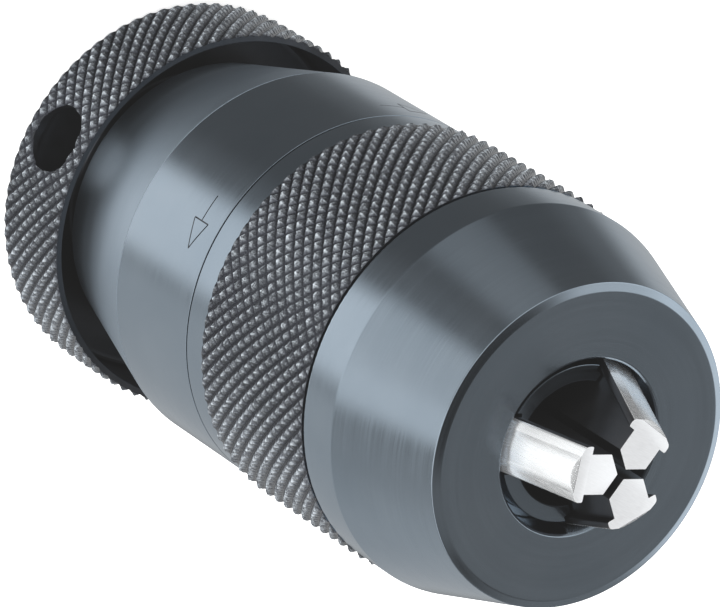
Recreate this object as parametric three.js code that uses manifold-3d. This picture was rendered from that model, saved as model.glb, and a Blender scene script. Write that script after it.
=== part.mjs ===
// A keyless, self-tightening drill chuck for drills up to 10 mm, standing on its rear face.
// Millimetres. +Z runs along the chuck's axis towards the nose; the spanner hole faces -Y.
//
// How it works: the spindle body holds the machine's taper. The shell (hood, grip, nose and jaw
// guide) turns on it on a thrust bearing. The feed screw can't turn in the shell, because the jaws
// hang in its slots, so turning the shell makes the left-hand screw travel in the spindle's tube
// and push the three jaws along their inclined slots.

import * as THREE from "three";
import Module from "manifold-3d";
import { mergeVertices } from "three/addons/utils/BufferGeometryUtils.js";

const wasm = await Module();
wasm.setup();

// ---------------------------------------------------------------- driving dimensions

const GAP = 0.3; // running and seating clearance between any two pieces
const ROUND = 48; // sides of the outer turned pieces
const INNER_ROUND = 36; // sides of those inside
const SMALL_ROUND = 12; // sides of pins and holes

// outside of the chuck, by height above the rear face
const ring = { radius: 21.65, lipRadius: 21.45, bore: 20.55, height: 11.2, floor: 1.4 };
const ringBoss = { radius: 13.5, top: 6 };
const spannerHole = { radius: 3.8, z: 5.35 };
const hoodShape = { bottomZ: 6.5, bottomRadius: 16.65, coneTopZ: 24, radius: 21.3, topZ: 38.2 };
const spigot = { outer: 18.9, inner: 17.9, topZ: 45.2 };
const grip = { bottomZ: 38.5, knurlZ: 41.8, topZ: 61.4, radius: 21.9, marginRadius: 21.3 };
const nose = { bandZ: 61.7, bandTopZ: 66.9, radius: 21.5, taperTopZ: 79.8, taperRadius: 17.63 };
const noseFace = { z: 80.1, rimRadius: 16.75, mouthRadius: 9.73, mouthDepth: 0.25, bore: 9.5 };

// spindle body: B12 short taper socket, thrust flange and threaded tube
const hub = { radius: 10, edge: 0.5 };
const taper = { mouthRadius: 6.03, depth: 18.5, ratio: 20.047 };
const flange = { radius: 15.5, bottomZ: 20.7, topZ: 24.5 };
const tube = { radius: 10.5, bore: 7.3, bottomZ: 20.5, topZ: 41 };

// thrust bearing between the hood's shoulder and the flange, held by a snap ring
const cavityRadius = 16.2;
const shoulderZ = 13;
const race = { inner: 10.5, outer: 15.9, upperOuter: 15.5, thickness: 1.5 };
const ball = { radius: 1.75, pitchRadius: 13, count: 12 };
const lowerRaceZ = shoulderZ + GAP;
const ballZ = lowerRaceZ + race.thickness + GAP + ball.radius;
const upperRaceZ = ballZ + ball.radius + GAP;
const cage = { inner: 10.6, outer: 15.6, thickness: 1.3 };
const snapRing = { inner: 13.2, outer: 16.7, bottomZ: 25.1, topZ: 26.1, openingWidth: 5 };
const seal = { inner: 10.3, outer: 12.3, bottomZ: 9.9, topZ: 11.3 };
const hoodBore = 10.4;

// feed screw
const thread = { lead: 2.5, crest: 7, root: 5.9, bottomZ: 32.4, topZ: 45.5, rowsPerTurn: 6 };
const screwNeck = 6.5;
const screwHead = { bottomZ: 53, topZ: 57.5, radius: 14.8 };

// jaws: the section at the tips, u outwards from the axis and t across
const SLOPE = THREE.MathUtils.degToRad(21); // between a jaw's slide and the chuck's axis
const jaw = {
  angles: [20, 140, 260], // degrees round from -Y, towards +X
  tipZ: 87.65,
  bottomZ: screwHead.topZ + GAP,
  grippingEdge: 0.6, // distance from the axis to the gripping edge at rest
  halfWidth: 2.15,
  headHalfWidth: 3,
  headStart: 4.25,
  backRadius: 5.95,
  maxReach: 14.2, // the rear end is cut back here to clear the skirt when the jaws are open
};
const stem = { inner: 8, outer: 12, halfWidth: 1.6 };
const foot = { inner: 7.8, outer: 12.5, halfWidth: 3, thickness: 2.5 };

// nose and jaw guide
const skirt = { outer: 20.2, inner: 19.2, bottomZ: 42.2, topZ: 58.7 };
const guide = { radius: 16.5, bottomZ: 59, topZ: 75.3, spigotRadius: 8.55, spigotTopZ: 79, bore: 6.8 };
const dowel = { radius: 1, ringRadius: 12.2, bottomZ: 70, topZ: 77.6 };

// ---------------------------------------------------------------- materials

const metal = (color, roughness, metalness = 0.9) =>
  new THREE.MeshStandardMaterial({ color, roughness, metalness });
const bluedSteel = metal(0x8a97a3, 0.34);
const knurledSteel = metal(0x59616b, 0.48);
const darkSteel = metal(0x3c4045, 0.55);
const groundSteel = metal(0xc9cdd0, 0.25);
const bearingSteel = metal(0xd5d8da, 0.15);
const brass = metal(0xb08d4a, 0.4);
const rubber = metal(0x1b1b1c, 0.9, 0);

// ---------------------------------------------------------------- helpers

const chuck = new THREE.Group();

function addPiece(name, geometry, material) {
  const piece = new THREE.Mesh(geometry, material);
  piece.name = name;
  chuck.add(piece);
  return piece;
}

function toSolid(geometry) {
  const plain = geometry.clone();
  plain.deleteAttribute("normal");
  plain.deleteAttribute("uv");
  const welded = mergeVertices(plain, 1e-4);
  const corners = Array.from(welded.index.array);
  const triangles = [];
  for (let i = 0; i < corners.length; i += 3) {
    const [a, b, c] = corners.slice(i, i + 3);
    if (a !== b && b !== c && c !== a) triangles.push(a, b, c);
  }
  return new wasm.Manifold(
    new wasm.Mesh({
      numProp: 3,
      vertProperties: new Float32Array(welded.attributes.position.array),
      triVerts: new Uint32Array(triangles),
    }),
  );
}

function toGeometry(solid) {
  const mesh = solid.getMesh();
  const geometry = new THREE.BufferGeometry();
  geometry.setAttribute("position", new THREE.BufferAttribute(mesh.vertProperties, mesh.numProp));
  geometry.setIndex(new THREE.BufferAttribute(mesh.triVerts, 1));
  const faceted = geometry.toNonIndexed();
  faceted.computeVertexNormals();
  return faceted;
}

// A solid turned round the Z axis. The [radius, z] points run anticlockwise round the section,
// from the axis back to the axis, or in a closed loop.
function turned(points, sides = ROUND) {
  const profile = points.map(([radius, z]) => new THREE.Vector2(radius, z));
  if (points[0][0] > 0) profile.push(profile[0].clone());
  return new THREE.LatheGeometry(profile, sides).rotateX(Math.PI / 2);
}

// A flat ring with square edges.
function washer(inner, outer, bottomZ, topZ) {
  return turned([[inner, bottomZ], [outer, bottomZ], [outer, topZ], [inner, topZ]], INNER_ROUND);
}

function cylinder(radius, bottomZ, topZ, sides = SMALL_ROUND) {
  const height = topZ - bottomZ;
  return new THREE.CylinderGeometry(radius, radius, height, sides)
    .rotateX(Math.PI / 2)
    .translate(0, 0, bottomZ + height / 2);
}

// A block by its reach outwards along +X, half its width across, and its heights.
function block(inner, outer, halfWidth, bottomZ, topZ) {
  return new THREE.BoxGeometry(outer - inner, halfWidth * 2, topZ - bottomZ).translate(
    (inner + outer) / 2,
    0,
    (bottomZ + topZ) / 2,
  );
}

// Turns a solid made on +X to a station, in degrees round from -Y towards +X.
const atStation = (solid, degrees) => solid.rotate([0, 0, degrees - 90]);

function cutAtStations(solid, cutter, stations) {
  return stations.reduce((rest, degrees) => rest.subtract(atStation(cutter, degrees)), solid);
}

// ---------------------------------------------------------------- jaw shapes

// The T-shaped run of a jaw's slide between two heights, grown by a clearance. Its section at the
// tips' height moves outwards on the way down; inside it reaches far past the axis.
function slideRun(grow, bottomZ, topZ) {
  const half = jaw.halfWidth + grow;
  const headHalf = jaw.headHalfWidth + grow;
  const headStart = jaw.headStart - grow;
  const back = jaw.backRadius + grow;
  const inside = -16;
  const corner = Math.asin(headHalf / back);
  const section = new THREE.Shape();
  section.moveTo(inside, half);
  section.lineTo(inside, -half);
  section.lineTo(headStart, -half);
  section.lineTo(headStart, -headHalf);
  section.absarc(0, 0, back, -corner, corner, false);
  section.lineTo(headStart, headHalf);
  section.lineTo(headStart, half);
  const run = new THREE.ExtrudeGeometry(section, {
    depth: topZ - bottomZ,
    bevelEnabled: false,
    curveSegments: 6,
  });
  run.translate(0, 0, bottomZ - jaw.tipZ);
  const outPerHeight = -Math.tan(SLOPE);
  const shear = new THREE.Matrix4().set(
    1, 0, outPerHeight, 0,
    0, 1, 0, 0,
    0, 0, 1, 0,
    0, 0, 0, 1,
  );
  return toSolid(run.applyMatrix4(shear).translate(0, 0, jaw.tipZ));
}

// Everything between the three-jaw gripping edge and the reach of the jaw's rear end.
function grippingWedge() {
  const half = 8;
  const wedge = new THREE.Shape();
  wedge.moveTo(jaw.grippingEdge, 0);
  wedge.lineTo(jaw.grippingEdge + half / Math.tan(Math.PI / 3), -half);
  wedge.lineTo(jaw.maxReach, -half);
  wedge.lineTo(jaw.maxReach, half);
  wedge.lineTo(jaw.grippingEdge + half / Math.tan(Math.PI / 3), half);
  const depth = jaw.tipZ - jaw.bottomZ;
  return toSolid(
    new THREE.ExtrudeGeometry(wedge, { depth, bevelEnabled: false }).translate(0, 0, jaw.bottomZ),
  );
}

function jawSolid() {
  const footTopZ = screwHead.bottomZ - GAP;
  const overlap = 1;
  const stemBlock = block(stem.inner, stem.outer, stem.halfWidth, footTopZ - overlap, jaw.bottomZ + overlap);
  const footBlock = block(foot.inner, foot.outer, foot.halfWidth, footTopZ - foot.thickness, footTopZ);
  return slideRun(0, jaw.bottomZ - overlap, jaw.tipZ + overlap)
    .intersect(grippingWedge())
    .add(toSolid(stemBlock))
    .add(toSolid(footBlock));
}

// The slot that a jaw slides in, open to the chuck's axis.
function jawSlot() {
  const lowest = 56;
  const highest = 88;
  const outerHalf = block(0, 30, jaw.headHalfWidth + 2 * GAP, lowest, highest);
  return slideRun(GAP, lowest, highest).intersect(toSolid(outerHalf));
}

// ---------------------------------------------------------------- spindle side

function spindleBody() {
  return turned([
    [0, taper.depth],
    [taper.mouthRadius - taper.depth / taper.ratio / 2, taper.depth],
    [taper.mouthRadius, hub.edge],
    [taper.mouthRadius + hub.edge, 0],
    [hub.radius - hub.edge, 0],
    [hub.radius, hub.edge],
    [hub.radius, flange.bottomZ],
    [flange.radius, flange.bottomZ],
    [flange.radius, flange.topZ - hub.edge],
    [flange.radius - hub.edge, flange.topZ],
    [tube.radius, flange.topZ],
    [tube.radius, tube.topZ - hub.edge],
    [tube.radius - hub.edge, tube.topZ],
    [tube.bore, tube.topZ],
    [tube.bore, tube.bottomZ],
    [0, tube.bottomZ],
  ], INNER_ROUND);
}

// A thin-walled cup with a boss that fits the hub, and the hook spanner's hole through its wall.
function rearRing() {
  const edge = 0.5;
  const cup = turned([
    [hub.radius + GAP, 0],
    [ring.radius - edge, 0],
    [ring.radius, edge],
    [ring.radius, ring.height - edge],
    [ring.lipRadius, ring.height],
    [ring.bore, ring.height],
    [ring.bore, ring.floor],
    [ringBoss.radius, ring.floor],
    [ringBoss.radius, ringBoss.top],
    [hub.radius + GAP, ringBoss.top],
  ]);
  const throughWall = 4;
  const hole = cylinder(spannerHole.radius, -throughWall / 2, throughWall / 2, ROUND / 2)
    .rotateX(Math.PI / 2)
    .translate(0, -ring.radius, spannerHole.z);
  return toGeometry(toSolid(cup).subtract(toSolid(hole)));
}

addPiece("spindle_body", spindleBody(), groundSteel);
addPiece("rear_ring", rearRing(), knurledSteel);
const upperRaceTopZ = upperRaceZ + race.thickness;
addPiece("upper_race", washer(race.inner, race.upperOuter, upperRaceZ, upperRaceTopZ), bearingSteel);

// ---------------------------------------------------------------- bearing

function ballCage() {
  const half = cage.thickness / 2;
  const plate = toSolid(washer(cage.inner, cage.outer, ballZ - half, ballZ + half));
  const pocket = cylinder(ball.radius + GAP, ballZ - cage.thickness, ballZ + cage.thickness);
  const drilled = toSolid(pocket.translate(ball.pitchRadius, 0, 0));
  const stations = Array.from({ length: ball.count }, (_, i) => (i * 360) / ball.count);
  return toGeometry(cutAtStations(plate, drilled, stations));
}

addPiece("lower_race", washer(race.inner, race.outer, lowerRaceZ, lowerRaceZ + race.thickness), bearingSteel);
addPiece("ball_cage", ballCage(), brass);
for (let i = 0; i < ball.count; i++) {
  const angle = (i * 2 * Math.PI) / ball.count;
  const sphere = addPiece(`ball_${i + 1}`, new THREE.SphereGeometry(ball.radius, 10, 7), bearingSteel);
  sphere.position.set(ball.pitchRadius * Math.cos(angle), ball.pitchRadius * Math.sin(angle), ballZ);
}

// ---------------------------------------------------------------- turning shell

function hood() {
  const groove = { outer: snapRing.outer + GAP, bottomZ: snapRing.bottomZ - GAP, topZ: snapRing.topZ + GAP };
  return turned([
    [hoodBore, hoodShape.bottomZ],
    [hoodShape.bottomRadius, hoodShape.bottomZ],
    [hoodShape.radius, hoodShape.coneTopZ],
    [hoodShape.radius, hoodShape.topZ],
    [spigot.outer, hoodShape.topZ],
    [spigot.outer, spigot.topZ],
    [spigot.inner, spigot.topZ],
    [spigot.inner, groove.topZ + 2],
    [cavityRadius, groove.topZ + 1],
    [cavityRadius, groove.topZ],
    [groove.outer, groove.topZ],
    [groove.outer, groove.bottomZ],
    [cavityRadius, groove.bottomZ],
    [cavityRadius, shoulderZ],
    [hoodBore, shoulderZ],
    [hoodBore, seal.topZ + GAP],
    [seal.outer + GAP, seal.topZ + GAP],
    [seal.outer + GAP, seal.bottomZ - GAP],
    [hoodBore, seal.bottomZ - GAP],
  ]);
}

function openSnapRing() {
  const full = toSolid(washer(snapRing.inner, snapRing.outer, snapRing.bottomZ, snapRing.topZ));
  const opening = block(0, 2 * snapRing.outer, snapRing.openingWidth / 2, 0, 2 * snapRing.topZ);
  return toGeometry(full.subtract(toSolid(opening)));
}

function gripSleeve() {
  const knurlEdge = 0.5;
  return turned([
    [spigot.outer + GAP, grip.bottomZ],
    [grip.marginRadius, grip.bottomZ],
    [grip.marginRadius, grip.knurlZ],
    [grip.radius, grip.knurlZ + knurlEdge],
    [grip.radius, grip.topZ - knurlEdge],
    [grip.radius - knurlEdge, grip.topZ],
    [skirt.outer + GAP, grip.topZ],
    [skirt.outer + GAP, skirt.bottomZ - GAP],
    [spigot.outer + GAP, skirt.bottomZ - GAP],
  ]);
}

function noseCone() {
  const bandEdge = 0.3;
  const cavity = { radius: guide.radius + GAP, topZ: guide.topZ + GAP };
  const shell = turned([
    [skirt.inner, skirt.bottomZ],
    [skirt.outer, skirt.bottomZ],
    [skirt.outer, nose.bandZ],
    [nose.radius - bandEdge, nose.bandZ],
    [nose.radius, nose.bandZ + bandEdge],
    [nose.radius, nose.bandTopZ],
    [nose.taperRadius, nose.taperTopZ],
    [noseFace.rimRadius, noseFace.z],
    [noseFace.mouthRadius, noseFace.z],
    [noseFace.bore, noseFace.z - noseFace.mouthDepth],
    [noseFace.bore, cavity.topZ],
    [cavity.radius, cavity.topZ],
    [cavity.radius, skirt.topZ + 1],
    [skirt.inner, skirt.topZ],
  ]);
  const cleared = cutAtStations(toSolid(shell), jawSlot(), jaw.angles);
  return toGeometry(cutAtStations(cleared, dowelHole(), dowelStations));
}

function jawGuide() {
  const edge = 0.5;
  const blank = turned([
    [guide.bore, guide.bottomZ],
    [guide.radius, guide.bottomZ],
    [guide.radius, guide.topZ - edge],
    [guide.radius - edge, guide.topZ],
    [guide.spigotRadius, guide.topZ],
    [guide.spigotRadius, guide.spigotTopZ],
    [guide.bore, guide.spigotTopZ],
  ], INNER_ROUND);
  const slotted = cutAtStations(toSolid(blank), jawSlot(), jaw.angles);
  return toGeometry(cutAtStations(slotted, dowelHole(), dowelStations));
}

const dowelStations = jaw.angles.map((degrees) => degrees + 60);

function dowelHole() {
  const hole = cylinder(dowel.radius + GAP, dowel.bottomZ - GAP, dowel.topZ + GAP);
  return toSolid(hole.translate(dowel.ringRadius, 0, 0));
}

addPiece("hood", hood(), bluedSteel);
addPiece("dust_seal", washer(seal.inner, seal.outer, seal.bottomZ, seal.topZ), rubber);
addPiece("snap_ring", openSnapRing(), darkSteel);
addPiece("grip_sleeve", gripSleeve(), knurledSteel);
addPiece("nose_cone", noseCone(), bluedSteel);
addPiece("jaw_guide", jawGuide(), darkSteel);
dowelStations.forEach((degrees, i) => {
  const pin = toSolid(cylinder(dowel.radius, dowel.bottomZ, dowel.topZ).translate(dowel.ringRadius, 0, 0));
  addPiece(`guide_pin_${i + 1}`, toGeometry(atStation(pin, degrees)), groundSteel);
});

// ---------------------------------------------------------------- feed screw and jaws

// A rod with a left-hand thread: the crest falls one lead for each turn towards +angle. The
// thread fades out into the root at both ends.
function threadedRod() {
  const { lead, crest, root, bottomZ, topZ, rowsPerTurn } = thread;
  const sides = 20;
  const rows = Math.round(((topZ - bottomZ) / lead) * rowsPerTurn);
  const points = [0, 0, bottomZ];
  for (let row = 0; row <= rows; row++) {
    const z = bottomZ + ((topZ - bottomZ) * row) / rows;
    const fade = Math.min(1, row / 4, (rows - row) / 4);
    for (let side = 0; side < sides; side++) {
      const angle = (2 * Math.PI * side) / sides;
      const phase = z / lead + side / sides;
      const height = 0.5 + 0.5 * Math.cos(2 * Math.PI * phase);
      const radius = root + (crest - root) * height * fade;
      points.push(radius * Math.cos(angle), radius * Math.sin(angle), z);
    }
  }
  points.push(0, 0, topZ);
  const top = points.length / 3 - 1;
  const vertex = (row, side) => 1 + row * sides + (side % sides);
  const triangles = [];
  for (let side = 0; side < sides; side++) {
    triangles.push(0, vertex(0, side + 1), vertex(0, side));
    triangles.push(top, vertex(rows, side), vertex(rows, side + 1));
    for (let row = 0; row < rows; row++) {
      const [a, b] = [vertex(row, side), vertex(row, side + 1)];
      const [c, d] = [vertex(row + 1, side), vertex(row + 1, side + 1)];
      triangles.push(a, b, d, a, d, c);
    }
  }
  const rod = new THREE.BufferGeometry();
  rod.setAttribute("position", new THREE.Float32BufferAttribute(points, 3));
  rod.setIndex(triangles);
  return toSolid(rod);
}

function feedScrew() {
  const edge = 0.6;
  const overlap = 1;
  const head = turned([
    [0, thread.topZ - overlap],
    [thread.root - edge, thread.topZ - overlap],
    [screwNeck, thread.topZ],
    [screwNeck, screwHead.bottomZ],
    [screwHead.radius - edge, screwHead.bottomZ],
    [screwHead.radius, screwHead.bottomZ + edge],
    [screwHead.radius, screwHead.topZ - edge],
    [screwHead.radius - edge, screwHead.topZ],
    [0, screwHead.topZ],
  ], INNER_ROUND);
  const stemSlot = toSolid(
    block(stem.inner - 2 * GAP, 2 * screwHead.radius, stem.halfWidth + GAP, screwHead.bottomZ - 1, 60),
  );
  const slotted = cutAtStations(toSolid(head), stemSlot, jaw.angles);
  return toGeometry(slotted.add(threadedRod()));
}

addPiece("feed_screw", feedScrew(), groundSteel);
jaw.angles.forEach((degrees, i) => {
  addPiece(`jaw_${i + 1}`, toGeometry(atStation(jawSolid(), degrees)), groundSteel);
});

export default chuck;
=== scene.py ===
import math

import bmesh
import bpy
from mathutils import Matrix, Vector


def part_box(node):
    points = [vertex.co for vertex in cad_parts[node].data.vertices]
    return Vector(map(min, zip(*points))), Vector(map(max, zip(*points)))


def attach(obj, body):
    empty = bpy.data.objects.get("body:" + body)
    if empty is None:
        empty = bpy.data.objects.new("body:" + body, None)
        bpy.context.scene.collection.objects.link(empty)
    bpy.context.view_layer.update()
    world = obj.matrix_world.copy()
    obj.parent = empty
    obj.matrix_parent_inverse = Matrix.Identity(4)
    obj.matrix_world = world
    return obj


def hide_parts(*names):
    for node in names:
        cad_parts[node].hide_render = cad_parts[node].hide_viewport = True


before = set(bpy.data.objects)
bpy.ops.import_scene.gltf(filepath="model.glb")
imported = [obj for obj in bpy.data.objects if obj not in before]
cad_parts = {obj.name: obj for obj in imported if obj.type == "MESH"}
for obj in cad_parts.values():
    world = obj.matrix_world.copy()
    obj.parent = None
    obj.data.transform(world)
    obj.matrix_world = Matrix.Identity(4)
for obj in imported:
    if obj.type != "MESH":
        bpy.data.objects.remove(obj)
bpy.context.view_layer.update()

# ------------------------------------------------------------------ sizes, in metres

MM = 0.001
ROUND = 240  # facets round the smooth turned pieces


def heights(node):
    """A CAD node's lowest and highest z."""
    low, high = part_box(node)
    return low.z, high.z


RING_TOP = heights("rear_ring")[1]
RING_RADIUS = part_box("rear_ring")[1].x
HOOD_BOTTOM = heights("hood")[0]
HOOD_TOP = 38.3 * MM
HOOD_CONE_TOP = 24 * MM
HOOD_RADIUS = 21.3 * MM
MARGIN_RADIUS = 21.3 * MM  # the grip's smooth margin, flush with the hood
GRIP_BOTTOM, GRIP_TOP = heights("grip_sleeve")
GRIP_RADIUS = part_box("grip_sleeve")[1].x
KNURL_BOTTOM = 41.8 * MM
NOSE_BAND = 61.7 * MM
NOSE_BAND_TOP = 66.9 * MM
TAPER_TOP = 79.8 * MM
TAPER_RADIUS = 17.63 * MM  # at its top
NOSE_TOP = heights("nose_cone")[1]
NOSE_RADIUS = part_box("nose_cone")[1].x
NECK_BORE = 19.2 * MM  # of the grip's lip and the nose's shank, round the hood's neck
GUIDE_BOTTOM, GUIDE_TOP = heights("jaw_guide")
JAW_TOP = heights("jaw_1")[1]
JAW_BODIES = ("first_jaw", "second_jaw", "third_jaw")
SAME_HEIGHT = 2e-7  # two points this close in height, in metres, belong to one loop

KNURL_TEETH = 77
KNURL_PITCH = 1.778 * MM  # from diamond to diamond along the axis
KNURL_DEPTH = 0.5 * MM

HOLE_RADIUS = 3.8 * MM  # the spanner hole in the ring
HOLE_Z = 5.35 * MM

ARROW_Z = 34.95 * MM
ARROWS = ((-2.6, 1), (-78, -1))  # degrees round from -Y, and which way each one points

SLOPE = math.radians(21)  # of a jaw's slide to the axis
JAW_ANGLES = (20, 140, 260)  # degrees round from -Y towards +X


# ------------------------------------------------------------------ materials


class Nodes:
    """A short way to build a node material."""

    def __init__(self, name):
        self.material = bpy.data.materials.new(name)
        self.material.use_nodes = True
        self.tree = self.material.node_tree
        self.shader = self.tree.nodes["Principled BSDF"]

    def node(self, kind, **settings):
        made = self.tree.nodes.new(kind)
        for key, value in settings.items():
            setattr(made, key, value)
        return made

    def link(self, source, target):
        self.tree.links.new(source, target)

    def value(self, node, socket, value):
        """Sets an input, or links it where the value is another node's output."""
        if isinstance(value, bpy.types.NodeSocket):
            self.link(value, node.inputs[socket])
        else:
            node.inputs[socket].default_value = value

    def math(self, operation, a, b=0.0, clamp=False):
        made = self.node("ShaderNodeMath", operation=operation, use_clamp=clamp)
        self.value(made, 0, a)
        self.value(made, 1, b)
        return made.outputs[0]

    def place(self):
        """The point on the object, in metres."""
        return self.node("ShaderNodeTexCoord").outputs["Object"]

    def split(self, vector):
        made = self.node("ShaderNodeSeparateXYZ")
        self.link(vector, made.inputs[0])
        return made.outputs

    def join(self, x, y, z):
        made = self.node("ShaderNodeCombineXYZ")
        self.value(made, 0, x)
        self.value(made, 1, y)
        self.value(made, 2, z)
        return made.outputs[0]

    def noise(self, vector, scale, detail=3.0, roughness=0.55):
        made = self.node("ShaderNodeTexNoise")
        self.link(vector, made.inputs["Vector"])
        made.inputs["Scale"].default_value = scale
        made.inputs["Detail"].default_value = detail
        made.inputs["Roughness"].default_value = roughness
        return made.outputs["Fac"]

    def spread(self, fac, low, high, from_low=0.3, from_high=0.7):
        """Stretches a factor's middle part to the range from low to high."""
        made = self.node("ShaderNodeMapRange", clamp=True)
        self.link(fac, made.inputs["Value"])
        made.inputs["From Min"].default_value = from_low
        made.inputs["From Max"].default_value = from_high
        made.inputs["To Min"].default_value = low
        made.inputs["To Max"].default_value = high
        return made.outputs["Result"]

    def mix(self, fac, a, b):
        made = self.node("ShaderNodeMix", data_type="RGBA")
        self.value(made, 0, fac)
        for socket, colour in ((6, a), (7, b)):
            if isinstance(colour, tuple):
                colour = (*colour, 1.0)
            self.value(made, socket, colour)
        return made.outputs[2]

    def bump(self, height, strength, distance=0.0001, normal=None):
        made = self.node("ShaderNodeBump")
        self.link(height, made.inputs["Height"])
        made.inputs["Strength"].default_value = strength
        made.inputs["Distance"].default_value = distance
        if normal is not None:
            self.link(normal, made.inputs["Normal"])
        return made.outputs["Normal"]

    def set(self, **values):
        """Sets or links the shader's own inputs by name."""
        for key, value in values.items():
            self.value(self.shader, key.replace("_", " "), value)

    def radius(self):
        """The point's distance from the z axis."""
        x, y, _ = self.split(self.place())
        squares = self.math("ADD", self.math("POWER", x, 2.0), self.math("POWER", y, 2.0))
        return self.math("SQRT", squares)

    def turning(self, spacing):
        """Fine rings of a lathe tool: noise that changes along the profile and hardly round it."""
        x, y, z = self.split(self.place())
        radius = self.radius()
        slow = 30.0
        fast = 1.0 / spacing
        along = self.math("MULTIPLY", self.math("ADD", z, self.math("MULTIPLY", radius, 0.7)), fast)
        rings = self.join(self.math("MULTIPLY", x, slow), self.math("MULTIPLY", y, slow), along)
        return self.noise(rings, 1.0, detail=2.0)


def blued_steel(name, tint=1.0, coarse_below=None):
    """Turned steel with a smooth blue-grey oxide, left coarser below a height where one is given."""
    m = Nodes(name)
    cloud = m.noise(m.place(), 70.0, detail=4.0)
    light = tuple(c * tint for c in (0.41, 0.48, 0.55))
    deep = tuple(c * tint for c in (0.35, 0.42, 0.49))
    m.set(Base_Color=m.mix(m.spread(cloud, 0.0, 1.0), deep, light))
    rings = m.turning(0.12 * MM)
    finish = m.spread(rings, 0.16, 0.24)
    if coarse_below is not None:
        coarse = m.math("LESS_THAN", m.split(m.place())[2], coarse_below)
        finish = m.math("ADD", finish, m.math("MULTIPLY", coarse, 0.32))
    m.set(Roughness=finish)
    m.set(Normal=m.bump(rings, 0.06, 0.00003))
    m.set(Metallic=1.0)
    return m.material


def knurled_steel(name, crest, depth):
    """Blued knurling with painted light: painted shade makes the grooves dark, and the crests are
    lighter, partly worn metal and partly painted highlight.
    """
    m = Nodes(name)
    rise = m.spread(m.radius(), 0.0, 1.0, crest - depth, crest)
    speck = m.noise(m.place(), 2600.0, detail=3.0)
    crests = m.math("POWER", rise, 1.3)
    # colour by the knurl's height: painted shade in the grooves, and on the crests worn metal with a
    # painted highlight
    painted_light_and_wear = m.math("MULTIPLY", crests, m.spread(speck, 0.25, 1.0, 0.4, 0.6), clamp=True)
    m.set(Base_Color=m.mix(painted_light_and_wear, (0.05, 0.053, 0.065), (0.88, 0.94, 1.0)))
    m.set(Roughness=m.spread(speck, 0.26, 0.08))
    m.set(Normal=m.bump(m.noise(m.place(), 5200.0, detail=2.0), 0.8, 0.00006))
    m.set(Metallic=0.95)
    return m.material


def dark_steel(name, colour=(0.09, 0.095, 0.105), rough=(0.3, 0.45)):
    """Black oxide on machined steel."""
    m = Nodes(name)
    stain = m.noise(m.place(), 400.0, detail=4.0)
    light = tuple(c * 1.25 for c in colour)
    m.set(Base_Color=m.mix(m.spread(stain, 0.0, 1.0), colour, light))
    m.set(Roughness=m.spread(stain, *rough))
    m.set(Normal=m.bump(m.turning(0.15 * MM), 0.1, 0.00004))
    m.set(Metallic=1.0)
    return m.material


def ground_steel(name, colour=(0.80, 0.81, 0.82), rough=(0.22, 0.36), metallic=1.0):
    """Bright steel with the fine straight scratches of a grinding wheel."""
    m = Nodes(name)
    x, y, z = m.split(m.place())
    scratches = m.join(
        m.math("MULTIPLY", x, 9000.0), m.math("MULTIPLY", y, 900.0), m.math("MULTIPLY", z, 400.0)
    )
    grain = m.noise(scratches, 1.0, detail=3.0)
    light = tuple(min(1.0, c * 1.08) for c in colour)
    m.set(Base_Color=m.mix(m.spread(grain, 0.0, 1.0), colour, light))
    m.set(Roughness=m.spread(grain, *rough))
    m.set(Normal=m.bump(grain, 0.08, 0.00003))
    m.set(Metallic=metallic)
    return m.material


def brass(name):
    """Stained brass for the ball cage."""
    m = Nodes(name)
    stain = m.noise(m.place(), 300.0, detail=4.0)
    m.set(Base_Color=m.mix(m.spread(stain, 0.0, 1.0), (0.50, 0.33, 0.12), (0.66, 0.46, 0.18)))
    m.set(Roughness=m.spread(stain, 0.25, 0.45))
    m.set(Metallic=1.0)
    return m.material


def rubber(name):
    """Matt black rubber for the seal."""
    m = Nodes(name)
    grain = m.noise(m.place(), 2500.0, detail=2.0)
    m.set(Base_Color=m.mix(m.spread(grain, 0.0, 1.0), (0.012, 0.012, 0.013), (0.03, 0.03, 0.032)))
    m.set(Roughness=0.75)
    m.set(Normal=m.bump(grain, 0.3, 0.00005))
    return m.material


BLUED = blued_steel("blued_steel")
HOOD_BLUED = blued_steel("hood_blued", coarse_below=HOOD_CONE_TOP)
# the guide's steel is the blued steel darkened by a tint of 0.8: painted shade for the guide that sits
# inside the nose
GUIDE_BLUED_SHADED = blued_steel("guide_blued_painted_shade", 0.8)
KNURL_GRIP = knurled_steel("knurl_grip", GRIP_RADIUS, KNURL_DEPTH)
KNURL_RING = knurled_steel("knurl_ring", RING_RADIUS, KNURL_DEPTH)
DARK = dark_steel("dark_steel")
BLACKENED = dark_steel("jaw_sides", (0.09, 0.09, 0.095), (0.3, 0.42))
GROUND = ground_steel("ground_steel")
JAW_TIP = ground_steel("jaw_tip", (0.86, 0.87, 0.885), (0.35, 0.5), 0.62)
JAW_BACK = ground_steel("jaw_back", (0.95, 0.96, 0.97), (0.2, 0.32), 0.9)
BEARING = ground_steel("bearing_steel", (0.82, 0.83, 0.84), (0.08, 0.16))
BRASS = brass("brass")
RUBBER = rubber("rubber")


# ------------------------------------------------------------------ mesh helpers


def polar(radius, angle, z):
    """A point by its radius, its angle in radians from -Y towards +X, and its height."""
    return Vector((radius * math.sin(angle), -radius * math.cos(angle), z))


def corner(before, at, after, size, steps):
    """The points of a rounded corner between two straight runs of a profile."""
    to_before = (before - at).normalized()
    to_after = (after - at).normalized()
    reach = min(size, 0.45 * (before - at).length, 0.45 * (after - at).length)
    start, end = at + to_before * reach, at + to_after * reach
    points = []
    for i in range(steps + 1):
        t = i / steps
        points.append(start * (1 - t) ** 2 + at * 2 * t * (1 - t) + end * t * t)
    return points


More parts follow.
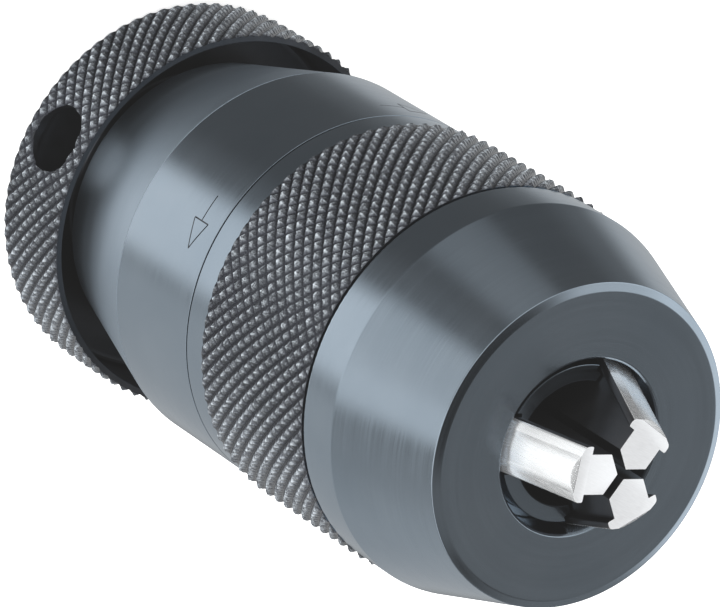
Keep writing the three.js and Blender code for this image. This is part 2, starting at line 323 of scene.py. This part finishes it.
def rounded(points, size=0.15 * MM, steps=4, closed=True):
    """Rounds a profile's corners. A point may carry its own size as a third number."""
    flat = [Vector(p[:2]) for p in points]
    sizes = [p[2] if len(p) > 2 else size for p in points]
    count = len(flat)
    result = []
    for i in range(count):
        if not closed and i in (0, count - 1):
            result.append(flat[i])
            continue
        if sizes[i] == 0:
            result.append(flat[i])
            continue
        result += corner(flat[i - 1], flat[i], flat[(i + 1) % count], sizes[i], steps)
    return result


def supported(profile, closed=True):
    """Adds a point near both ends of each long run, so that its shading stays flat."""
    inset = 0.06 * MM
    result = []
    count = len(profile)
    for i in range(count if closed else count - 1):
        a, b = profile[i], profile[(i + 1) % count]
        result.append(a)
        run = (b - a).length
        if run > 6 * inset:
            result.append(a.lerp(b, inset / run))
            result.append(b.lerp(a, inset / run))
    if not closed:
        result.append(profile[-1])
    return result


def revolve(bm, profile, closed=True, sides=ROUND):
    """Adds a surface of revolution and returns its rings of vertices."""
    rings = []
    for radius, z in profile:
        rings.append([bm.verts.new(polar(radius, 2 * math.pi * k / sides, z)) for k in range(sides)])
    pairs = list(zip(rings, rings[1:]))
    if closed:
        pairs.append((rings[-1], rings[0]))
    for first, second in pairs:
        for k in range(sides):
            after = (k + 1) % sides
            bm.faces.new((first[k], first[after], second[after], second[k]))
    return rings


def finish_mesh(bm, name, materials, sharp=32.0):
    """Turns a bmesh into a smooth-shaded object, with edges over `sharp` degrees kept hard."""
    bmesh.ops.recalc_face_normals(bm, faces=bm.faces)
    mesh = bpy.data.meshes.new(name)
    bm.to_mesh(mesh)
    bm.free()
    piece = bpy.data.objects.new(name, mesh)
    bpy.context.scene.collection.objects.link(piece)
    for material in materials:
        mesh.materials.append(material)
    mesh.shade_smooth()
    mesh.set_sharp_from_angle(angle=math.radians(sharp))
    return piece


def turned(name, points, material, sides=ROUND):
    """A turned piece from the closed outline of its section."""
    bm = bmesh.new()
    revolve(bm, supported(rounded(points)), sides=sides)
    return finish_mesh(bm, name, [material])


def applied(piece):
    """Bakes a piece's modifiers into its mesh."""
    graph = bpy.context.evaluated_depsgraph_get()
    mesh = bpy.data.meshes.new_from_object(piece.evaluated_get(graph))
    old = piece.data
    piece.modifiers.clear()
    piece.data = mesh
    bpy.data.meshes.remove(old)
    return piece


def boolean(piece, cutters, operation="DIFFERENCE"):
    """Cuts or joins with each cutter and deletes them."""
    for cutter in cutters:
        cut = piece.modifiers.new("cut", "BOOLEAN")
        cut.operation = operation
        cut.solver = "EXACT"
        cut.object = cutter
    applied(piece)
    for cutter in cutters:
        bpy.data.objects.remove(cutter)
    return piece


def sharpen(piece, degrees=32.0):
    """Sets smooth shading with hard edges again, after a cut."""
    piece.data.shade_smooth()
    piece.data.set_sharp_from_angle(angle=math.radians(degrees))
    return piece


def join_body(piece, node, body, slot_name, *more_nodes):
    """Puts a piece on its body, in place of its CAD nodes. Its slot name is not used."""
    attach(piece, body)
    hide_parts(node, *more_nodes)
    return piece


# ------------------------------------------------------------------ knurling


GROOVE_FOOT, GROOVE_TOP = 0.04, 0.45  # where a groove's flank starts and ends, in pitches


def groove_rise(distance):
    """How far a knurl has risen from its groove, 0 to 1, at a distance of 0 to 0.5 pitches."""
    return min(1.0, max(0.0, (distance - GROOVE_FOOT) / (GROOVE_TOP - GROOVE_FOOT)))


def knurl_tube(bm, crest, low_z, high_z):
    """
    An open tube of diamond knurling between two heights, with chamfered ends.

    Two families of helical grooves cross. A vertex is counted by its steps across each family, a and
    b: their sum is the place round the tube and their difference is the height. The crests vary a
    little in height, as if torn by the tool.
    """
    steps = (0.0, 0.04, 0.245, 0.45, 0.55, 0.755, 0.96)  # across one pitch, from groove to groove
    fine = len(steps)
    turn = 2 * fine * KNURL_TEETH
    found = {}

    def vertex(a, b):
        if a + b >= turn:
            a, b = a - turn // 2, b - turn // 2
        if a + b < 0:
            a, b = a + turn // 2, b + turn // 2
        if (a, b) not in found:
            part_a, part_b = steps[a % fine], steps[b % fine]
            across, along = a // fine + part_a, b // fine + part_b
            rise = min(
                groove_rise(min(part_a, 1 - part_a)),
                groove_rise(min(part_b, 1 - part_b)),
            )
            angle = 2 * math.pi * (across + along) / (2 * KNURL_TEETH)
            z = low_z + (across - along) / 2 * KNURL_PITCH
            torn = 0.055 * rise * (1 + math.sin(91.7 * (a % turn) + 47.3 * b))
            found[a, b] = bm.verts.new(polar(crest - KNURL_DEPTH * (1 - rise + torn), angle, z))
        return found[a, b]

    rows = math.ceil(2 * (high_z - low_z) / KNURL_PITCH) + 2
    for row in range(-2, rows):
        for tooth in range(KNURL_TEETH):
            total = 2 * tooth + row % 2
            m, n = (total + row) // 2, (total - row) // 2
            for i in range(fine):
                for j in range(fine):
                    a, b = m * fine + i, n * fine + j
                    quad = (vertex(a, b), vertex(a + 1, b), vertex(a + 1, b + 1), vertex(a, b + 1))
                    if i == j:
                        bm.faces.new((quad[0], quad[1], quad[2]))
                        bm.faces.new((quad[0], quad[2], quad[3]))
                    elif i + j == fine - 1:
                        bm.faces.new((quad[0], quad[1], quad[3]))
                        bm.faces.new((quad[1], quad[2], quad[3]))
                    else:
                        bm.faces.new(quad)
    chamfer = 0.45 * MM
    for z, keep_above in ((low_z, True), (high_z, False)):
        inward = chamfer if keep_above else -chamfer
        for offset, clear in ((0.0, True), (inward / 2, False), (inward, False)):
            bmesh.ops.bisect_plane(
                bm,
                geom=bm.verts[:] + bm.edges[:] + bm.faces[:],
                dist=1e-7,
                plane_co=(0, 0, z + offset),
                plane_no=(0, 0, 1),
                clear_inner=clear and keep_above,
                clear_outer=clear and not keep_above,
            )
    for v in bm.verts:
        from_end = min(v.co.z - low_z, high_z - v.co.z)
        allowed = crest - 0.9 * max(0.0, chamfer - from_end)
        radius = math.hypot(v.co.x, v.co.y)
        if radius > allowed:
            v.co.x *= allowed / radius
            v.co.y *= allowed / radius


def edge_loop(bm, z):
    """The open edge's vertices at a height, in order of angle."""
    ring = [
        v
        for v in bm.verts
        if abs(v.co.z - z) < SAME_HEIGHT and any(len(e.link_faces) < 2 for e in v.link_edges)
    ]
    return sorted(ring, key=lambda v: math.atan2(v.co.x, -v.co.y) % (2 * math.pi))


def bridge(bm, first, second):
    """Fills the strip between two loops that both run once round the axis."""

    def angle(loop, index):
        laps, place = divmod(index, len(loop))
        v = loop[place].co
        return math.atan2(v.x, -v.y) % (2 * math.pi) + 2 * math.pi * laps

    i = j = 0
    while i < len(first) or j < len(second):
        step_first = j >= len(second) or (i < len(first) and angle(first, i + 1) < angle(second, j + 1))
        a, b = first[i % len(first)], second[j % len(second)]
        if step_first:
            i += 1
            bm.faces.new((a, first[i % len(first)], b))
        else:
            j += 1
            bm.faces.new((a, second[j % len(second)], b))


def knurled(name, crest, low_z, high_z, rest, material, smooth_material):
    """A knurled band whose section is closed by the open outline `rest`, from its top to its foot."""
    bm = bmesh.new()
    knurl_tube(bm, crest, low_z, high_z)
    top, foot = edge_loop(bm, high_z), edge_loop(bm, low_z)
    knurl_faces = set(bm.faces)
    rings = revolve(bm, supported(rounded(rest, 0.12 * MM, closed=False), closed=False), closed=False)
    bridge(bm, top, rings[0])
    bridge(bm, foot, rings[-1])
    for face in bm.faces:
        if face not in knurl_faces:
            face.material_index = 1
    return finish_mesh(bm, name, [material, smooth_material], sharp=18.0)


# ------------------------------------------------------------------ rear ring


def rear_ring():
    """The holding ring: a cup with a knurled wall, a boss for the hub and the spanner hole."""
    bore, floor = 20.55 * MM, 1.4 * MM
    boss_radius, boss_top, hub_bore = 13.5 * MM, 6 * MM, 10.3 * MM
    wall = RING_RADIUS - KNURL_DEPTH
    outline = [
        (wall - 0.02 * MM, RING_TOP),
        (bore, RING_TOP),
        (bore, floor, 0.8 * MM),
        (boss_radius, floor, 0.8 * MM),
        (boss_radius, boss_top),
        (hub_bore, boss_top),
        (hub_bore, 0),
        (wall - 0.02 * MM, 0),
    ]
    ring = knurled("rear_ring_knurled", RING_RADIUS, 0, RING_TOP, outline, KNURL_RING, DARK)
    boolean(ring, [hole_cutter(wall, bore)])
    sharpen(ring, 18.0)
    return join_body(ring, "rear_ring", "spindle", "knurled_steel")


def hole_cutter(wall, bore):
    """A round plug across the ring's wall at -Y, flared outside so that the hole has a chamfer."""
    bm = bmesh.new()
    beyond = 1 * MM
    flare = 1.25 * MM
    profile = [
        (HOLE_RADIUS + flare, RING_RADIUS + beyond),
        (HOLE_RADIUS, wall + 0.1 * MM),
        (HOLE_RADIUS, bore - beyond),
    ]
    sides = 72
    rings = []
    for radius, out in profile:
        loop = []
        for k in range(sides):
            turn = 2 * math.pi * k / sides
            loop.append(bm.verts.new((radius * math.cos(turn), -out, HOLE_Z + radius * math.sin(turn))))
        rings.append(loop)
    for first, second in zip(rings, rings[1:]):
        for k in range(sides):
            bm.faces.new((first[k], first[(k + 1) % sides], second[(k + 1) % sides], second[k]))
    bm.faces.new(rings[0])
    bm.faces.new(list(reversed(rings[-1])))
    return finish_mesh(bm, "hole_cutter", [DARK])


rear_ring()

# ------------------------------------------------------------------ hood


def stroke_cutter(start, end, centre):
    """A tapered ribbon for one engraved stroke. Points are (arc, height) on the hood's cylinder."""
    depth, width, foot = 0.18 * MM, 0.21 * MM, 0.1 * MM
    start, end = Vector(start), Vector(end)
    along = (end - start).normalized()
    across = Vector((-along.y, along.x))
    steps = 6
    bm = bmesh.new()
    loops = []
    for i in range(steps + 1):
        middle = start.lerp(end, i / steps)
        loop = []
        for out, half in ((-depth, -foot), (-depth, foot), (depth, width), (depth, -width)):
            point = middle + across * half / 2
            loop.append(bm.verts.new(polar(HOOD_RADIUS + out, centre + point.x / HOOD_RADIUS, point.y)))
        loops.append(loop)
    for first, second in zip(loops, loops[1:]):
        for k in range(4):
            after = (k + 1) % 4
            bm.faces.new((first[k], first[after], second[after], second[k]))
    bm.faces.new(loops[0])
    bm.faces.new(loops[-1])
    return finish_mesh(bm, "stroke", [DARK])


def engrave_arrow(shell, centre, way):
    """Cuts an arrow into the hood that points round it, with a hollow triangle for its head."""
    half = 1.3 * MM
    neck, tip, tail = 0, 3.2 * MM * way, -3.1 * MM * way
    strokes = (
        ((tail, ARROW_Z), (neck, ARROW_Z)),
        ((neck, ARROW_Z - half), (neck, ARROW_Z + half)),
        ((neck, ARROW_Z + half), (tip, ARROW_Z)),
        ((tip, ARROW_Z), (neck, ARROW_Z - half)),
    )
    boolean(shell, [stroke_cutter(start, end, centre) for start, end in strokes])
    for face in shell.data.polygons:
        radius = face.center.xy.length
        near = abs(face.center.z - ARROW_Z) < half + 0.2 * MM
        if near and HOOD_RADIUS - 0.25 * MM < radius < HOOD_RADIUS - 0.02 * MM:
            face.material_index = 1
    sharpen(shell)
    smooth_cylinder(shell, HOOD_RADIUS)


def smooth_cylinder(piece, radius):
    """Gives the faces on a cylinder its true normals, so that cuts in it leave no facets."""
    mesh = piece.data
    normals = [Vector(n.vector) for n in mesh.corner_normals]
    for face in mesh.polygons:
        if face.normal.xy.length < 0.999:
            continue
        if any(abs(mesh.vertices[v].co.xy.length - radius) > 0.01 * MM for v in face.vertices):
            continue
        for loop in face.loop_indices:
            place = mesh.vertices[mesh.loops[loop].vertex_index].co
            normals[loop] = Vector((place.x, place.y, 0)).normalized()
    mesh.normals_split_custom_set(normals)


def hood():
    """The hood: cone and cylinder outside; seal groove, bearing room and snap ring groove inside."""
    edge = 0.02 * MM
    hub_bore, seal_bore, bearing_bore = 10.4 * MM, 12.6 * MM, 16.2 * MM
    seal_low, seal_high, rear_wall_top = 9.6 * MM, 11.6 * MM, 13 * MM
    snap_bore, snap_low, snap_high = 17.0 * MM, 24.8 * MM, 26.4 * MM
    front_bore, front_low, bearing_top = 17.9 * MM, 28.4 * MM, 27.4 * MM
    neck_radius, neck_top = 18.9 * MM, 45.2 * MM
    outline = [
        (hub_bore, HOOD_BOTTOM),
        (16.65 * MM, HOOD_BOTTOM, 0.5 * MM),
        (HOOD_RADIUS - 0.02 * MM, HOOD_CONE_TOP - 0.08 * MM, edge),
        (HOOD_RADIUS - 0.09 * MM, HOOD_CONE_TOP, edge),
        (HOOD_RADIUS, HOOD_CONE_TOP + 0.08 * MM, edge),
        (HOOD_RADIUS, HOOD_TOP, 0.07 * MM),
        (neck_radius, HOOD_TOP),
        (neck_radius, neck_top),
        (front_bore, neck_top),
        (front_bore, front_low),
        (bearing_bore, bearing_top),
        (bearing_bore, snap_high),
        (snap_bore, snap_high),
        (snap_bore, snap_low),
        (bearing_bore, snap_low),
        (bearing_bore, rear_wall_top),
        (hub_bore, rear_wall_top),
        (hub_bore, seal_high),
        (seal_bore, seal_high),
        (seal_bore, seal_low),
        (hub_bore, seal_low),
    ]
    shell = turned("hood_shell", outline, HOOD_BLUED)
    shell.data.materials.append(DARK)
    for bearing, way in ARROWS:
        engrave_arrow(shell, math.radians(bearing), way)
    return join_body(shell, "hood", "shell", "blued_steel")


hood()

# ------------------------------------------------------------------ grip sleeve


def grip_sleeve():
    """The grip: a knurled tube with a smooth margin and, inside, a lip behind the nose's shank."""
    wall = GRIP_RADIUS - KNURL_DEPTH
    bore, lip_top = 20.5 * MM, 41.9 * MM
    outline = [
        (wall - 0.02 * MM, GRIP_TOP),
        (bore, GRIP_TOP),
        (bore, lip_top),
        (NECK_BORE, lip_top),
        (NECK_BORE, GRIP_BOTTOM),
        (MARGIN_RADIUS, GRIP_BOTTOM, 0.07 * MM),
        (MARGIN_RADIUS, KNURL_BOTTOM),
    ]
    sleeve = knurled(
        "grip_sleeve_knurled", GRIP_RADIUS, KNURL_BOTTOM, GRIP_TOP, outline, KNURL_GRIP, BLUED
    )
    return join_body(sleeve, "grip_sleeve", "shell", "knurled_steel")


grip_sleeve()

# ------------------------------------------------------------------ nose and jaw guide


def jaw_run(grow, low_z, high_z, inside):
    """The T-shaped run of a jaw's slide on +X, sheared down its incline, as a bmesh."""
    half, head_half = 2.15 * MM + grow, 3 * MM + grow
    head_start, back = 4.25 * MM - grow, 5.95 * MM + grow
    reach = math.asin(head_half / back)
    inner_round, outer_round = 0.2 * MM, 0.5 * MM
    outline = [(inside, -half, 0), (head_start, -half, 0), (head_start, -head_half, inner_round)]
    arc_steps = 16
    for k in (0, *range(3, arc_steps - 2), arc_steps):
        turn = -reach + 2 * reach * k / arc_steps
        size = outer_round if k in (0, arc_steps) else 0
        outline.append((back * math.cos(turn), back * math.sin(turn), size))
    outline += [(head_start, head_half, inner_round), (head_start, half, 0), (inside, half, 0)]
    outline = rounded(outline)
    bm = bmesh.new()
    loops = []
    for z in (low_z, high_z):
        shift = math.tan(SLOPE) * (JAW_TOP - z)
        loops.append([bm.verts.new((u + shift, t, z)) for u, t in outline])
    count = len(outline)
    for k in range(count):
        after = (k + 1) % count
        bm.faces.new((loops[0][k], loops[0][after], loops[1][after], loops[1][k]))
    bm.faces.new(loops[0])
    bm.faces.new(loops[1])
    bmesh.ops.recalc_face_normals(bm, faces=bm.faces)
    return bm


def cut_flat(bm, place, normal):
    """Cuts away what lies on the normal's side of a plane and closes the cut."""
    cut = bmesh.ops.bisect_plane(
        bm,
        geom=bm.verts[:] + bm.edges[:] + bm.faces[:],
        dist=1e-8,
        plane_co=place,
        plane_no=normal,
        clear_outer=True,
    )
    edges = [e for e in cut["geom_cut"] if isinstance(e, bmesh.types.BMEdge)]
    bmesh.ops.holes_fill(bm, edges=edges, sides=0)


def to_station(bm, degrees):
    """Turns a bmesh from +X to a jaw's own direction."""
    turn = Matrix.Rotation(math.radians(degrees - 90), 3, "Z")
    bmesh.ops.rotate(bm, cent=(0, 0, 0), matrix=turn, verts=bm.verts)


def slot_cutters():
    """One cutter per jaw: its run with clearance all round, open at both ends and to the axis."""
    clearance, low_z, high_z, past_axis = 0.3 * MM, 56 * MM, 90 * MM, -18 * MM
    cutters = []
    for degrees in JAW_ANGLES:
        bm = jaw_run(clearance, low_z, high_z, past_axis)
        cut_flat(bm, (0, 0, 0), (-1, 0, 0))
        to_station(bm, degrees)
        cutters.append(finish_mesh(bm, "slot_cutter", [DARK]))
    return cutters


def nose_cone():
    """The nose: a shank inside the grip, a plain band, the taper and a flat face with the mouth."""
    face_rim, mouth, bore = 16.75 * MM, 9.73 * MM, 9.5 * MM
    shank, shank_low = 20.2 * MM, 42.2 * MM
    room, room_low, room_top = 16.8 * MM, 59.7 * MM, 75.6 * MM
    outline = [
        (NECK_BORE, shank_low),
        (shank, shank_low),
        (shank, NOSE_BAND),
        (NOSE_RADIUS, NOSE_BAND, 0.25 * MM),
        (NOSE_RADIUS, NOSE_BAND_TOP, 0.12 * MM),
        (TAPER_RADIUS, TAPER_TOP, 0.08 * MM),
        (face_rim, NOSE_TOP, 0.08 * MM),
        (mouth, NOSE_TOP, 0.1 * MM),
        (bore, NOSE_TOP - 0.25 * MM, 0.1 * MM),
        (bore, room_top),
        (room, room_top),
        (room, room_low),
        (NECK_BORE, 58.7 * MM),
    ]
    cone = turned("nose_cone_turned", outline, BLUED)
    boolean(cone, slot_cutters())
    sharpen(cone)
    return join_body(cone, "nose_cone", "shell", "blued_steel")


def jaw_guide():
    """The jaw guide: a drum in the nose, with a collar that reaches up into the nose's bore."""
    bore, drum, collar, drum_top = 6.8 * MM, 16.5 * MM, 8.55 * MM, 75.3 * MM
    outline = [
        (bore, GUIDE_BOTTOM),
        (drum, GUIDE_BOTTOM, 0.5 * MM),
        (drum, drum_top, 0.5 * MM),
        (collar, drum_top),
        (collar, GUIDE_TOP, 0.1 * MM),
        (bore, GUIDE_TOP, 0.12 * MM),
    ]
    guide = turned("jaw_guide_turned", outline, GUIDE_BLUED_SHADED, sides=180)
    boolean(guide, slot_cutters())
    sharpen(guide)
    return join_body(guide, "jaw_guide", "shell", "dark_steel")


nose_cone()
jaw_guide()

# ------------------------------------------------------------------ jaws


def foot_block(inner, outer, half, low, high):
    """One step of the T-shaped foot that hangs in the feed screw's head."""
    bm = bmesh.new()
    base = [(inner, -half), (outer, -half), (outer, half), (inner, half)]
    lower = [bm.verts.new((x, y, low)) for x, y in base]
    upper = [bm.verts.new((x, y, high)) for x, y in base]
    bm.faces.new(list(reversed(lower)))
    bm.faces.new(upper)
    for k in range(4):
        after = (k + 1) % 4
        bm.faces.new((lower[k], lower[after], upper[after], upper[k]))
    return bm


def jaw(number, degrees):
    """A jaw: ground tip and back, with blackened sides and gripping edge."""
    edge, reach, rear = 0.6 * MM, 14.2 * MM, 57.8 * MM
    face_corner, past_axis = 5.6 * MM, -16 * MM
    bm = jaw_run(0, rear - 1 * MM, JAW_TOP, past_axis)
    for side in (1, -1):
        cut_flat(bm, (edge, 0, 0), (-math.sin(math.pi / 3), side * math.cos(math.pi / 3), 0))
    cut_flat(bm, (reach, 0, 0), (1, 0, 0))
    cut_flat(bm, (0, 0, rear), (0, 0, -1))
    cut_flat(bm, (face_corner, 0, JAW_TOP), (0.64, 0, 0.77))
    to_station(bm, degrees)
    blade = finish_mesh(bm, f"jaw_{number}_blade", [JAW_TIP, JAW_BACK, BLACKENED])
    stem, head = (8, 12, 1.6, 51, 60), (7.8, 12.5, 3.0, 50.2, 52.7)
    parts = []
    for inner, outer, half, low, high in (stem, head):
        block = foot_block(inner * MM, outer * MM, half * MM, low * MM, high * MM)
        to_station(block, degrees)
        parts.append(finish_mesh(block, "jaw_foot", [BLACKENED]))
    boolean(blade, parts, "UNION")
    bevel = blade.modifiers.new("edges", "BEVEL")
    bevel.width = 0.13 * MM
    bevel.segments = 2
    bevel.limit_method = "ANGLE"
    bevel.angle_limit = math.radians(25)
    applied(blade)
    outward = polar(1, math.radians(degrees), 0)
    for face in blade.data.polygons:
        if face.normal.z > 0.9:
            face.material_index = 0
        elif face.normal.dot(outward) > 0.5:
            face.material_index = 1
        else:
            face.material_index = 2
    sharpen(blade, 30.0)
    return join_body(blade, f"jaw_{number}", JAW_BODIES[number - 1], "jaw_steel")


for index, station in enumerate(JAW_ANGLES):
    jaw(index + 1, station)

# ------------------------------------------------------------------ pieces kept from the CAD model


def finish_cad_node(name, material):
    """Gives a CAD node a material and keeps its shape."""
    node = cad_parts[name]
    node.data.materials.clear()
    node.data.materials.append(material)


for name in ("spindle_body", "feed_screw", "guide_pin_1", "guide_pin_2", "guide_pin_3"):
    finish_cad_node(name, GROUND)
for name in ("upper_race", "lower_race", *(f"ball_{k}" for k in range(1, 13))):
    finish_cad_node(name, BEARING)
finish_cad_node("ball_cage", BRASS)
finish_cad_node("dust_seal", RUBBER)
finish_cad_node("snap_ring", DARK)

# ------------------------------------------------------------------ studio


def floor():
    """A pale paper floor just under the ring. It is left out of the steel's reflections."""
    bm = bmesh.new()
    reach = 4.0
    corners = ((-reach, -reach), (reach, -reach), (reach, reach), (-reach, reach))
    bm.faces.new([bm.verts.new((x, y, 0)) for x, y in corners])
    m = Nodes("floor_paper")
    m.set(Base_Color=(0.9, 0.9, 0.9, 1.0), Roughness=1.0)
    m.set(Emission_Color=(1.0, 1.0, 1.0, 1.0), Emission_Strength=0.5)
    m.shader.inputs["Specular IOR Level"].default_value = 0.0
    plane = finish_mesh(bm, "floor", [m.material])
    plane.location.z = -0.05 * MM
    plane.visible_glossy = False


# Soft areas that shiny steel mirrors: bearing and half width in degrees round from -Y, height and
# half height of the direction as a share of 1, soft part of the edge, and brightness.
PANELS = {
    "front_panel": (10, 32, -0.66, 0.5, 0.35, 0.8),
    "right_fill": (100, 70, -0.7, 0.4, 0.3, 0.35),
    "rear_panel": (-160, 32, -0.7, 0.5, 0.5, 0.4),
    "left_strip": (-60, 20, -0.15, 0.3, 0.5, 0.25),
    "table": (35, 65, -1.0, 0.12, 0.4, 1.0),
    "side_light": (-133, 30, 0.7, 0.2, 0.2, 0.6),
    "soft_box": (38, 24, -0.1, 0.14, 0.2, 0.9),
}
# Dark cards, the same way: the last number is how much of the light they take away.
CARDS = {
    "left_card": (-75, 45, -0.4, 0.7, 0.3, 0.4),
    "right_card": (133, 38, 0.42, 0.36, 0.2, 0.8),
}
SURROUND, HORIZON, CEILING = 0.17, 1.1, 0.175  # brightness of the room by height


def studio_world():
    """A soft studio: mirrored rays see the room with its panels and cards, all others plain white."""
    world = bpy.data.worlds.new("studio")
    bpy.context.scene.world = world
    world.use_nodes = True
    tree = world.node_tree
    tree.nodes.clear()

    def calc(operation, a, b=0.0, clamp=False):
        """The output of a maths node for two numbers or outputs."""
        made = tree.nodes.new("ShaderNodeMath")
        made.operation = operation
        made.use_clamp = clamp
        for index, value in enumerate((a, b)):
            if isinstance(value, bpy.types.NodeSocket):
                tree.links.new(value, made.inputs[index])
            else:
                made.inputs[index].default_value = value
        return made.outputs[0]

    direction = tree.nodes.new("ShaderNodeTexCoord").outputs["Generated"]
    split = tree.nodes.new("ShaderNodeSeparateXYZ")
    tree.links.new(direction, split.inputs[0])
    x, y, z = split.outputs
    bearing = calc("ARCTAN2", x, calc("MULTIPLY", y, -1.0))

    def blend(start, end, below, above):
        """One brightness below a height and another above it."""
        share_above = calc("DIVIDE", calc("SUBTRACT", z, start), end - start, clamp=True)
        part_below = calc("MULTIPLY", calc("SUBTRACT", 1.0, share_above), below)
        return calc("ADD", part_below, calc("MULTIPLY", share_above, above))

    def area(at, half_width, height, half_height, softness):
        """A soft-edged area of the room, 1 inside and 0 outside."""
        off = calc("ARCCOSINE", calc("COSINE", calc("SUBTRACT", bearing, math.radians(at))))
        aside = calc("DIVIDE", off, math.radians(half_width))
        apart = calc("DIVIDE", calc("ABSOLUTE", calc("SUBTRACT", z, height)), half_height)
        inside = calc("SUBTRACT", 1.0, calc("MAXIMUM", aside, apart))
        return calc("DIVIDE", inside, softness, clamp=True)

    def dimmed(light, where, amount):
        """The light with a share of it taken away inside an area."""
        return calc("MULTIPLY", light, calc("SUBTRACT", 1.0, calc("MULTIPLY", where, amount)))

    # heights are shares of 1: 0 at the horizon, 1 straight up
    shine = blend(-0.05, 0.08, SURROUND, HORIZON)
    shine = blend(0.45, 0.68, shine, CEILING)
    overhead = calc("DIVIDE", calc("SUBTRACT", z, 0.9), 0.05, clamp=True)
    shine = dimmed(shine, overhead, 0.85)
    for *where, amount in CARDS.values():
        shine = dimmed(shine, area(*where), amount)
    for *where, brightness in PANELS.values():
        shine = calc("ADD", shine, calc("MULTIPLY", area(*where), brightness))
    mirrored = tree.nodes.new("ShaderNodeBackground")
    mirrored.inputs["Color"].default_value = (0.97, 0.99, 1.0, 1.0)
    tree.links.new(shine, mirrored.inputs["Strength"])
    plain = tree.nodes.new("ShaderNodeBackground")
    plain.inputs["Color"].default_value = (1.0, 1.0, 1.0, 1.0)
    plain.inputs["Strength"].default_value = 1.0
    mix = tree.nodes.new("ShaderNodeMixShader")
    tree.links.new(tree.nodes.new("ShaderNodeLightPath").outputs["Is Glossy Ray"], mix.inputs[0])
    tree.links.new(plain.outputs[0], mix.inputs[1])
    tree.links.new(mirrored.outputs[0], mix.inputs[2])
    tree.links.new(mix.outputs[0], tree.nodes.new("ShaderNodeOutputWorld").inputs[0])


def area_light(name, place, target, size, power):
    """A round soft lamp that points at the target and is not mirrored itself."""
    data = bpy.data.lights.new(name, "AREA")
    data.shape = "DISK"
    data.size = size
    data.energy = power
    lamp = bpy.data.objects.new(name, data)
    bpy.context.scene.collection.objects.link(lamp)
    lamp.visible_glossy = False
    lamp.location = place
    lamp.rotation_euler = (Vector(target) - Vector(place)).to_track_quat("-Z", "Y").to_euler()


def camera():
    """The photograph's angle: a long lens from above the nose, rolled so that the axis lies over."""
    azimuth, elevation, roll = math.radians(-6), math.radians(50.6), math.radians(122.5)
    distance = 703.9 * MM
    aim = Vector((-0.32, 0.03, 38.29)) * MM
    back = Vector(
        (
            math.sin(azimuth) * math.cos(elevation),
            -math.cos(azimuth) * math.cos(elevation),
            math.sin(elevation),
        )
    )
    level_right = Vector((0, 0, 1)).cross(back).normalized()
    level_up = back.cross(level_right)
    right = level_right * math.cos(roll) + level_up * math.sin(roll)
    up = back.cross(right)
    data = bpy.data.cameras.new("camera")
    data.sensor_width = 36
    data.lens = 332.6
    data.clip_start = 0.05
    data.clip_end = 20
    eye = bpy.data.objects.new("camera", data)
    bpy.context.scene.collection.objects.link(eye)
    turn = Matrix((right, up, back)).transposed()
    eye.matrix_world = Matrix.Translation(aim + back * distance) @ turn.to_4x4()
    bpy.context.scene.camera = eye


floor()
studio_world()
area_light("key", (0.35, -0.25, 0.6), (0, 0, 0.05), 0.35, 5.0)
camera()
view = bpy.context.scene.view_settings
view.view_transform = "Standard"
view.use_curve_mapping = True
view.curve_mapping.black_level = (-0.014, -0.014, -0.014)
